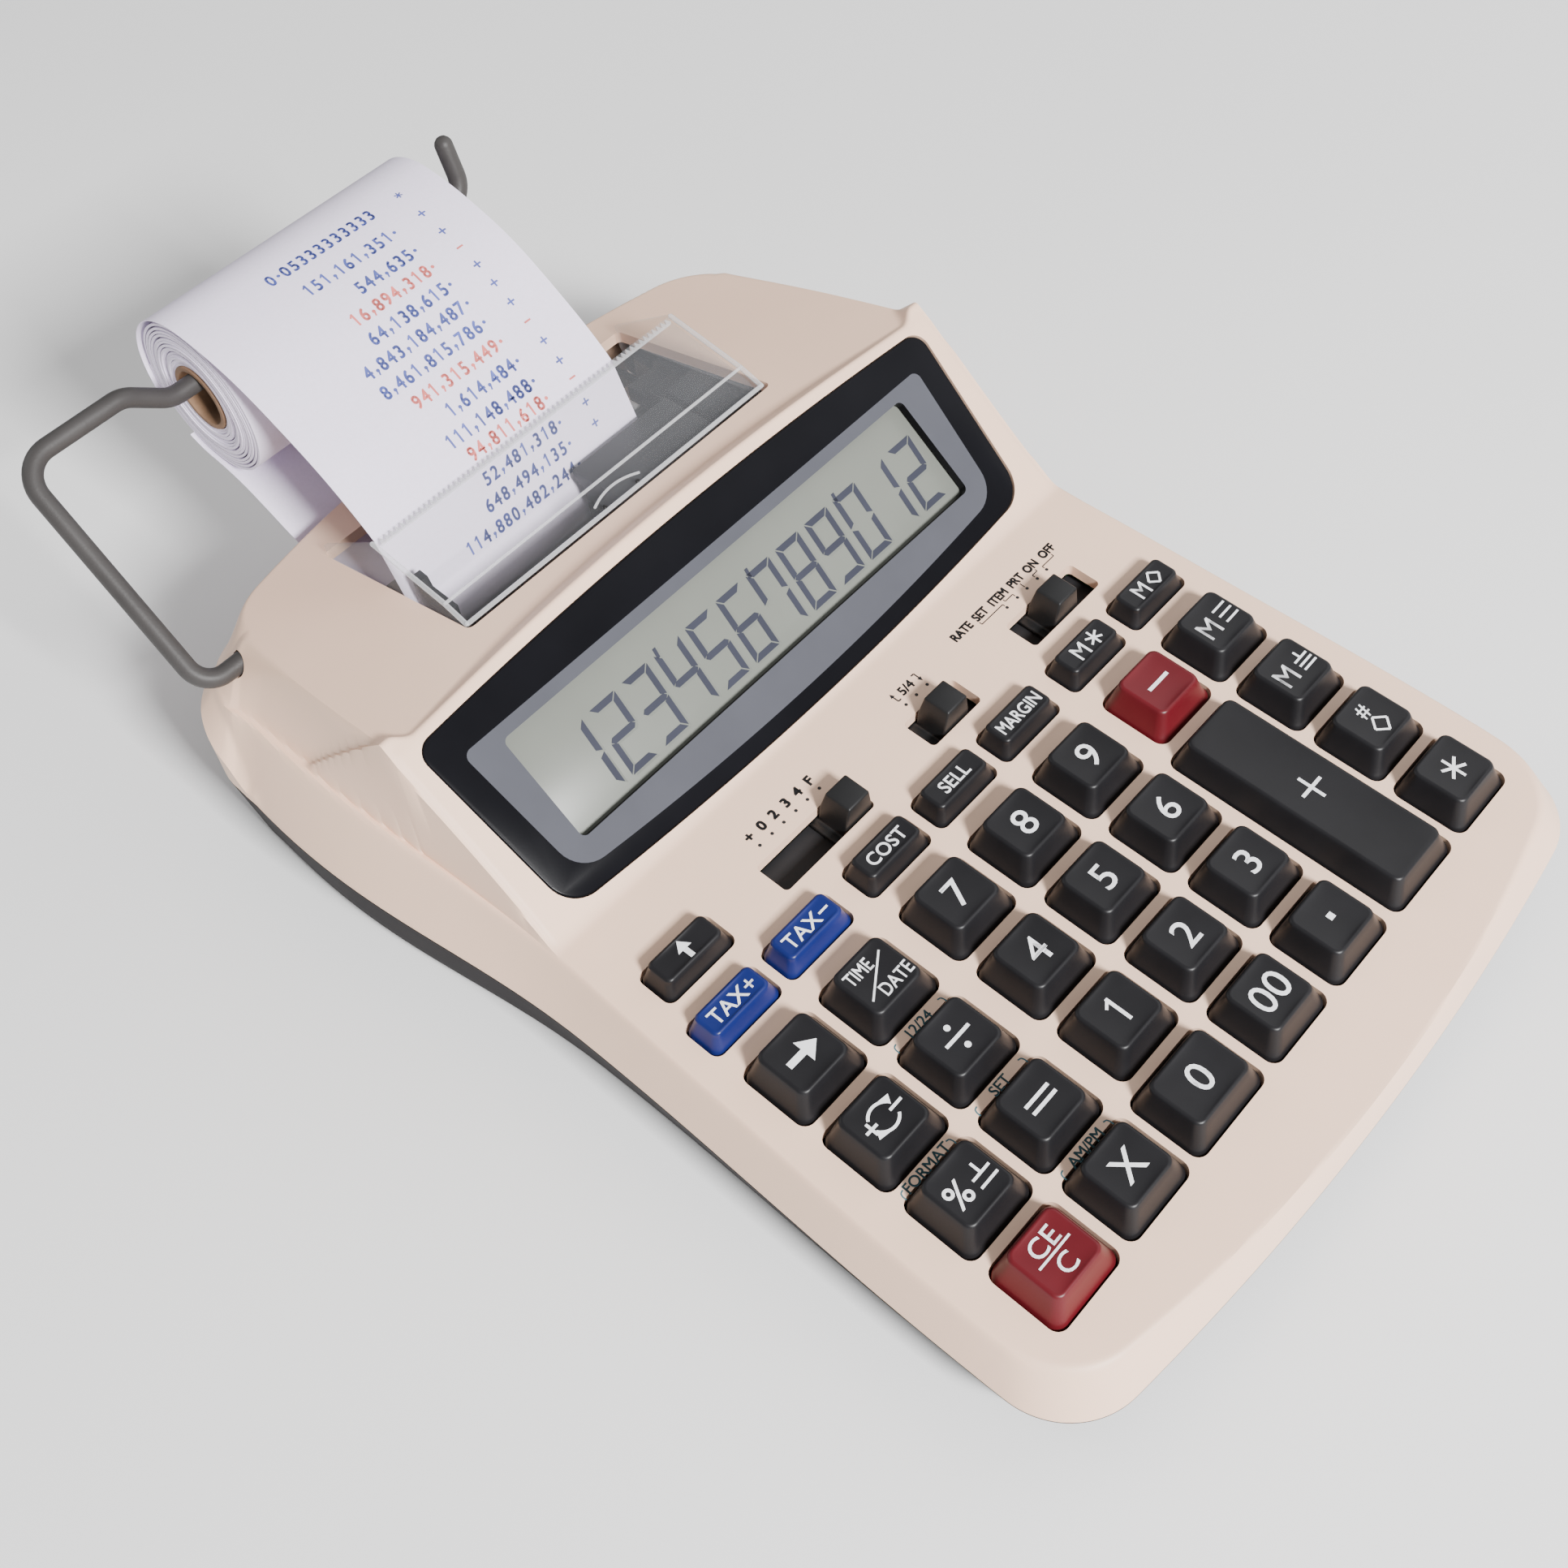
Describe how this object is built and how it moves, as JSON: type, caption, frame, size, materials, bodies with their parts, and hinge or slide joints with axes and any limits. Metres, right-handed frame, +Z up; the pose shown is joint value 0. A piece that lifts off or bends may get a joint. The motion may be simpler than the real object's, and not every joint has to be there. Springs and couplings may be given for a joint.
{
  "type": "desktop printing calculator",
  "caption": "Desktop printing calculator: sloping keyboard, raised number display, small impact printer under a clear cover, and a wire arm holding the paper roll behind.",
  "frame": {"origin": "on the desk, under the middle of the whole outline", "axes": "+X is the user's right, +Y is towards the back, from the keys to the paper roll, +Z is up"},
  "size_m": [0.149, 0.2356, 0.0796],
  "materials": {
    "case_beige": "fine satin texture",
    "base_grey": "fine satin texture",
    "lens_black": "polished",
    "display_glass": "satin",
    "key_rubber": "matt",
    "board_green": "satin",
    "arm_paint": "satin",
    "core_cardboard": "matt",
    "paper_white": "matt",
    "cover_clear": "polished",
    "printer_black": "satin",
    "platen_rubber": "matt",
    "wheel_dark": "matt",
    "ink_felt": "matt",
    "motor_steel": "brushed",
    "pinion_nylon": "satin",
    "cell_wrap": "gloss",
    "foot_rubber": "matt",
    "screw_steel": "satin",
    "socket_black": "matt",
    "switch_black": "satin",
    "key_black": "satin",
    "key_red": "satin",
    "key_blue": "satin"
  },
  "bodies": {
    "case": {"top_case": "case_beige", "bottom_case": "base_grey", "display_lens": "lens_black", "lcd_panel": "display_glass", "key_mat": "key_rubber", "main_board": "board_green", "paper_tape": "paper_white", "printer_frame": "printer_black", "printer_motor": "motor_steel", "batteries": "cell_wrap", "rubber_feet": "foot_rubber", "case_screws": "screw_steel", "adaptor_socket": "socket_black"},
    "paper_arm": {"paper_arm": "arm_paint"},
    "roll": {"roll_core": "core_cardboard", "paper_roll": "paper_white"},
    "cover": {"printer_cover": "cover_clear"},
    "platen": {"platen_roller": "platen_rubber"},
    "carriage": {"print_carriage": "printer_black"},
    "wheel": {"print_wheel": "wheel_dark"},
    "ink": {"ink_roller": "ink_felt"},
    "pinion": {"motor_pinion": "pinion_nylon"},
    "battery_door": {"battery_door": "base_grey"},
    "decimal_switch": {"decimal_switch": "switch_black"},
    "rounding_switch": {"rounding_switch": "switch_black"},
    "power_switch": {"power_switch": "switch_black"},
    "key_shift_right": {"key_shift_right": "key_black"},
    "key_time_date": {"key_time_date": "key_black"},
    "key_7": {"key_7": "key_black"},
    "key_8": {"key_8": "key_black"},
    "key_9": {"key_9": "key_black"},
    "key_minus": {"key_minus": "key_red"},
    "key_memory_plus": {"key_memory_plus": "key_black"},
    "key_sign_change": {"key_sign_change": "key_black"},
    "key_divide": {"key_divide": "key_black"},
    "key_4": {"key_4": "key_black"},
    "key_5": {"key_5": "key_black"},
    "key_6": {"key_6": "key_black"},
    "key_memory_minus": {"key_memory_minus": "key_black"},
    "key_percent": {"key_percent": "key_black"},
    "key_equals": {"key_equals": "key_black"},
    "key_1": {"key_1": "key_black"},
    "key_2": {"key_2": "key_black"},
    "key_3": {"key_3": "key_black"},
    "key_subtotal": {"key_subtotal": "key_black"},
    "key_clear": {"key_clear": "key_red"},
    "key_multiply": {"key_multiply": "key_black"},
    "key_0": {"key_0": "key_black"},
    "key_00": {"key_00": "key_black"},
    "key_point": {"key_point": "key_black"},
    "key_total": {"key_total": "key_black"},
    "key_plus": {"key_plus": "key_black"},
    "key_paper_feed": {"key_paper_feed": "key_black"},
    "key_tax_plus": {"key_tax_plus": "key_blue"},
    "key_tax_minus": {"key_tax_minus": "key_blue"},
    "key_cost": {"key_cost": "key_black"},
    "key_sell": {"key_sell": "key_black"},
    "key_margin": {"key_margin": "key_black"},
    "key_memory_total": {"key_memory_total": "key_black"},
    "key_memory_subtotal": {"key_memory_subtotal": "key_black"}
  },
  "joints": [
    {"name": "arm_swing", "type": "hinge", "parent": "case", "child": "paper_arm", "pos_m": [-0.0575, 0.0687, 0.04135], "axis": [1, 0, 0], "range_deg": [-25, 35], "deforming": ["paper_tape"]},
    {"name": "roll_spin", "type": "hinge", "parent": "paper_arm", "child": "roll", "pos_m": [-0.0083, 0.1021, 0.0639], "axis": [1, 0, 0], "continuous": true},
    {"name": "cover_hinge", "type": "hinge", "parent": "case", "child": "cover", "pos_m": [-0.0009, 0.0722, 0.0418], "axis": [1, 0, 0], "range_deg": [-18, 0], "deforming": ["paper_tape"]},
    {"name": "carriage_slide", "type": "slide", "parent": "case", "child": "carriage", "axis": [1, 0, 0], "range_m": [-0.0345, 0]},
    {"name": "platen_spin", "type": "hinge", "parent": "case", "child": "platen", "pos_m": [-0.0083, 0.058, 0.036], "axis": [1, 0, 0], "continuous": true},
    {"name": "pinion_spin", "type": "hinge", "parent": "case", "child": "pinion", "pos_m": [0.0387, 0.06578, 0.02822], "axis": [1, 0, 0], "continuous": true},
    {"name": "wheel_spin", "type": "hinge", "parent": "carriage", "child": "wheel", "pos_m": [0.014, 0.045, 0.037], "axis": [1, 0, 0], "continuous": true},
    {"name": "ink_spin", "type": "hinge", "parent": "carriage", "child": "ink", "pos_m": [0.014, 0.035, 0.0363], "axis": [1, 0, 0], "continuous": true},
    {"name": "battery_door_pull", "type": "slide", "parent": "case", "child": "battery_door", "axis": [0, 0, -1], "range_m": [0, 0.012]},
    {"name": "decimal_slide", "type": "slide", "parent": "case", "child": "decimal_switch", "axis": [1, 0, 0], "range_m": [-0.0148, 0]},
    {"name": "rounding_slide", "type": "slide", "parent": "case", "child": "rounding_switch", "axis": [1, 0, 0], "range_m": [-0.0028, 0.0028]},
    {"name": "power_slide", "type": "slide", "parent": "case", "child": "power_switch", "axis": [1, 0, 0], "range_m": [-0.0058, 0.0058]},
    {"name": "key_plus_press", "type": "slide", "parent": "case", "child": "key_plus", "axis": [0, 0.1045, -0.9945], "range_m": [0, 0.0025], "stiffness_N_per_m": 180, "springref_m": -0.0012},
    {"name": "key_0_press", "type": "slide", "parent": "case", "child": "key_0", "axis": [0, 0.1045, -0.9945], "range_m": [0, 0.0025], "stiffness_N_per_m": 180, "springref_m": -0.0012},
    {"name": "key_5_press", "type": "slide", "parent": "case", "child": "key_5", "axis": [0, 0.1045, -0.9945], "range_m": [0, 0.0025], "stiffness_N_per_m": 180, "springref_m": -0.0012},
    {"name": "key_tax_plus_press", "type": "slide", "parent": "case", "child": "key_tax_plus", "axis": [0, 0.1045, -0.9945], "range_m": [0, 0.0025], "stiffness_N_per_m": 180, "springref_m": -0.0012},
    {"name": "key_minus_press", "type": "slide", "parent": "case", "child": "key_minus", "axis": [0, 0.1045, -0.9945], "range_m": [0, 0.0025], "stiffness_N_per_m": 180, "springref_m": -0.0012},
    {"name": "key_clear_press", "type": "slide", "parent": "case", "child": "key_clear", "axis": [0, 0.1045, -0.9945], "range_m": [0, 0.0025], "stiffness_N_per_m": 180, "springref_m": -0.0012},
    {"name": "key_paper_feed_press", "type": "slide", "parent": "case", "child": "key_paper_feed", "axis": [0, 0.1045, -0.9945], "range_m": [0, 0.0025], "stiffness_N_per_m": 180, "springref_m": -0.0012},
    {"name": "key_shift_right_press", "type": "slide", "parent": "case", "child": "key_shift_right", "axis": [0, 0.1045, -0.9945], "range_m": [0, 0.0025], "stiffness_N_per_m": 180, "springref_m": -0.0012},
    {"name": "key_time_date_press", "type": "slide", "parent": "case", "child": "key_time_date", "axis": [0, 0.1045, -0.9945], "range_m": [0, 0.0025], "stiffness_N_per_m": 180, "springref_m": -0.0012},
    {"name": "key_7_press", "type": "slide", "parent": "case", "child": "key_7", "axis": [0, 0.1045, -0.9945], "range_m": [0, 0.0025], "stiffness_N_per_m": 180, "springref_m": -0.0012},
    {"name": "key_8_press", "type": "slide", "parent": "case", "child": "key_8", "axis": [0, 0.1045, -0.9945], "range_m": [0, 0.0025], "stiffness_N_per_m": 180, "springref_m": -0.0012},
    {"name": "key_9_press", "type": "slide", "parent": "case", "child": "key_9", "axis": [0, 0.1045, -0.9945], "range_m": [0, 0.0025], "stiffness_N_per_m": 180, "springref_m": -0.0012},
    {"name": "key_memory_plus_press", "type": "slide", "parent": "case", "child": "key_memory_plus", "axis": [0, 0.1045, -0.9945], "range_m": [0, 0.0025], "stiffness_N_per_m": 180, "springref_m": -0.0012},
    {"name": "key_sign_change_press", "type": "slide", "parent": "case", "child": "key_sign_change", "axis": [0, 0.1045, -0.9945], "range_m": [0, 0.0025], "stiffness_N_per_m": 180, "springref_m": -0.0012},
    {"name": "key_divide_press", "type": "slide", "parent": "case", "child": "key_divide", "axis": [0, 0.1045, -0.9945], "range_m": [0, 0.0025], "stiffness_N_per_m": 180, "springref_m": -0.0012},
    {"name": "key_4_press", "type": "slide", "parent": "case", "child": "key_4", "axis": [0, 0.1045, -0.9945], "range_m": [0, 0.0025], "stiffness_N_per_m": 180, "springref_m": -0.0012},
    {"name": "key_6_press", "type": "slide", "parent": "case", "child": "key_6", "axis": [0, 0.1045, -0.9945], "range_m": [0, 0.0025], "stiffness_N_per_m": 180, "springref_m": -0.0012},
    {"name": "key_memory_minus_press", "type": "slide", "parent": "case", "child": "key_memory_minus", "axis": [0, 0.1045, -0.9945], "range_m": [0, 0.0025], "stiffness_N_per_m": 180, "springref_m": -0.0012},
    {"name": "key_percent_press", "type": "slide", "parent": "case", "child": "key_percent", "axis": [0, 0.1045, -0.9945], "range_m": [0, 0.0025], "stiffness_N_per_m": 180, "springref_m": -0.0012},
    {"name": "key_equals_press", "type": "slide", "parent": "case", "child": "key_equals", "axis": [0, 0.1045, -0.9945], "range_m": [0, 0.0025], "stiffness_N_per_m": 180, "springref_m": -0.0012},
    {"name": "key_1_press", "type": "slide", "parent": "case", "child": "key_1", "axis": [0, 0.1045, -0.9945], "range_m": [0, 0.0025], "stiffness_N_per_m": 180, "springref_m": -0.0012},
    {"name": "key_2_press", "type": "slide", "parent": "case", "child": "key_2", "axis": [0, 0.1045, -0.9945], "range_m": [0, 0.0025], "stiffness_N_per_m": 180, "springref_m": -0.0012},
    {"name": "key_3_press", "type": "slide", "parent": "case", "child": "key_3", "axis": [0, 0.1045, -0.9945], "range_m": [0, 0.0025], "stiffness_N_per_m": 180, "springref_m": -0.0012},
    {"name": "key_subtotal_press", "type": "slide", "parent": "case", "child": "key_subtotal", "axis": [0, 0.1045, -0.9945], "range_m": [0, 0.0025], "stiffness_N_per_m": 180, "springref_m": -0.0012},
    {"name": "key_multiply_press", "type": "slide", "parent": "case", "child": "key_multiply", "axis": [0, 0.1045, -0.9945], "range_m": [0, 0.0025], "stiffness_N_per_m": 180, "springref_m": -0.0012},
    {"name": "key_00_press", "type": "slide", "parent": "case", "child": "key_00", "axis": [0, 0.1045, -0.9945], "range_m": [0, 0.0025], "stiffness_N_per_m": 180, "springref_m": -0.0012},
    {"name": "key_point_press", "type": "slide", "parent": "case", "child": "key_point", "axis": [0, 0.1045, -0.9945], "range_m": [0, 0.0025], "stiffness_N_per_m": 180, "springref_m": -0.0012},
    {"name": "key_total_press", "type": "slide", "parent": "case", "child": "key_total", "axis": [0, 0.1045, -0.9945], "range_m": [0, 0.0025], "stiffness_N_per_m": 180, "springref_m": -0.0012},
    {"name": "key_tax_minus_press", "type": "slide", "parent": "case", "child": "key_tax_minus", "axis": [0, 0.1045, -0.9945], "range_m": [0, 0.0025], "stiffness_N_per_m": 180, "springref_m": -0.0012},
    {"name": "key_cost_press", "type": "slide", "parent": "case", "child": "key_cost", "axis": [0, 0.1045, -0.9945], "range_m": [0, 0.0025], "stiffness_N_per_m": 180, "springref_m": -0.0012},
    {"name": "key_sell_press", "type": "slide", "parent": "case", "child": "key_sell", "axis": [0, 0.1045, -0.9945], "range_m": [0, 0.0025], "stiffness_N_per_m": 180, "springref_m": -0.0012},
    {"name": "key_margin_press", "type": "slide", "parent": "case", "child": "key_margin", "axis": [0, 0.1045, -0.9945], "range_m": [0, 0.0025], "stiffness_N_per_m": 180, "springref_m": -0.0012},
    {"name": "key_memory_total_press", "type": "slide", "parent": "case", "child": "key_memory_total", "axis": [0, 0.1045, -0.9945], "range_m": [0, 0.0025], "stiffness_N_per_m": 180, "springref_m": -0.0012},
    {"name": "key_memory_subtotal_press", "type": "slide", "parent": "case", "child": "key_memory_subtotal", "axis": [0, 0.1045, -0.9945], "range_m": [0, 0.0025], "stiffness_N_per_m": 180, "springref_m": -0.0012}
  ],
  "couplings": [
    {"joint": "platen_spin", "follows": "roll_spin", "ratio": 2.2374},
    {"joint": "pinion_spin", "follows": "roll_spin", "ratio": -5.9664},
    {"joint": "ink_spin", "follows": "wheel_spin", "ratio": -1.0532}
  ]
}
